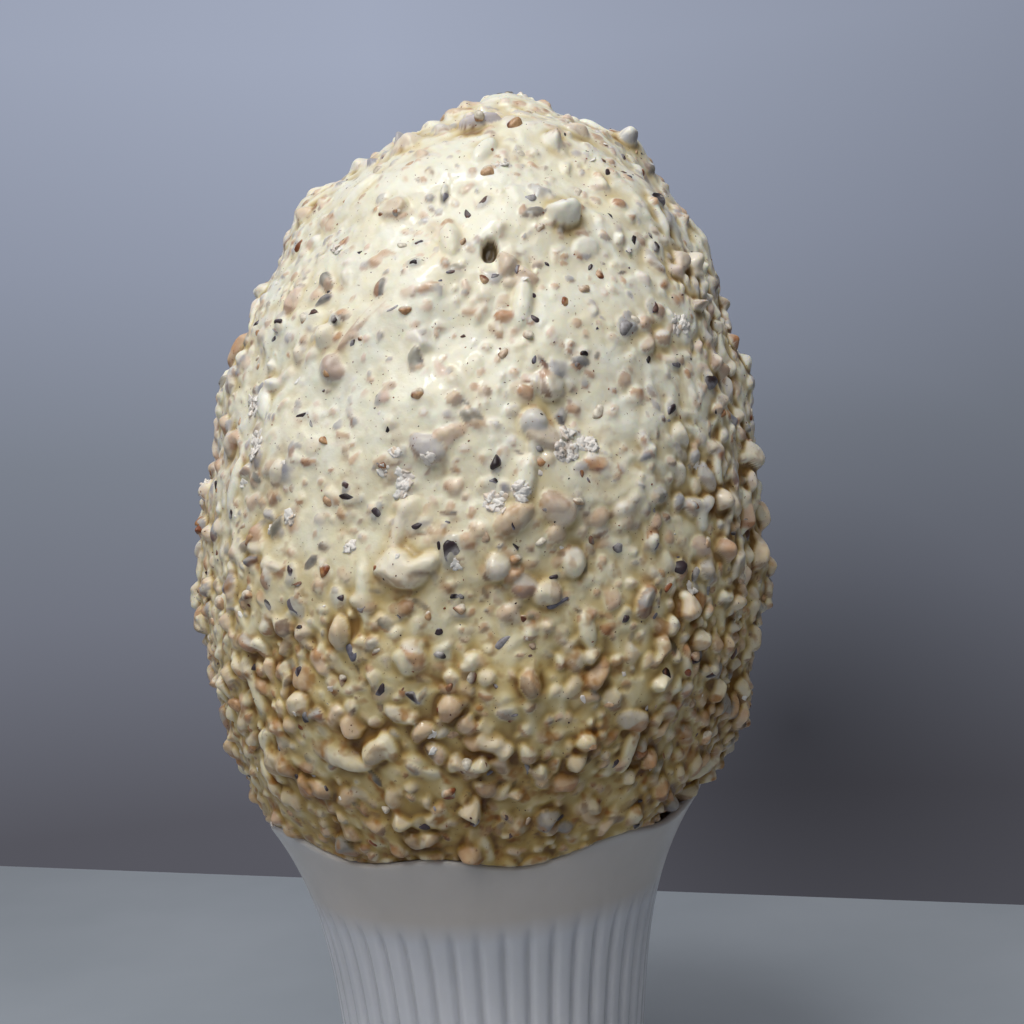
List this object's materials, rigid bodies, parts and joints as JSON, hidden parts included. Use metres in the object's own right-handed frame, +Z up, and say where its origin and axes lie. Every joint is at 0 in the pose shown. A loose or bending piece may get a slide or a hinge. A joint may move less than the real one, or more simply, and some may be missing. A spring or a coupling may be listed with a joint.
{
  "type": "white chocolate egg in a ribbed vase",
  "caption": "Large white chocolate egg coated with chopped nuts, standing upright in the flared wavy mouth of a ribbed milk glass vase.",
  "frame": {"origin": "middle of the vase's flat underside, on the surface that it stands on", "axes": "+Z up along the vase's axis; -Y is the front of the object; the egg's tip leans towards +X"},
  "size_m": [0.1352, 0.1344, 0.2836],
  "materials": {
    "white_chocolate": "semi-gloss set chocolate, ivory",
    "chopped_nuts": "roasted nut pieces, beige to tan, thinly filmed with chocolate",
    "dark_chips": "dark chips and nut skins, partly filmed with white chocolate",
    "wafer_crumbs": "dry flaky crumbs, matt, off-white to pinkish",
    "milk_glass": "glossy opal glass, slightly translucent"
  },
  "bodies": {
    "root": {"egg": "white_chocolate", "vase": "milk_glass"}
  },
  "joints": []
}
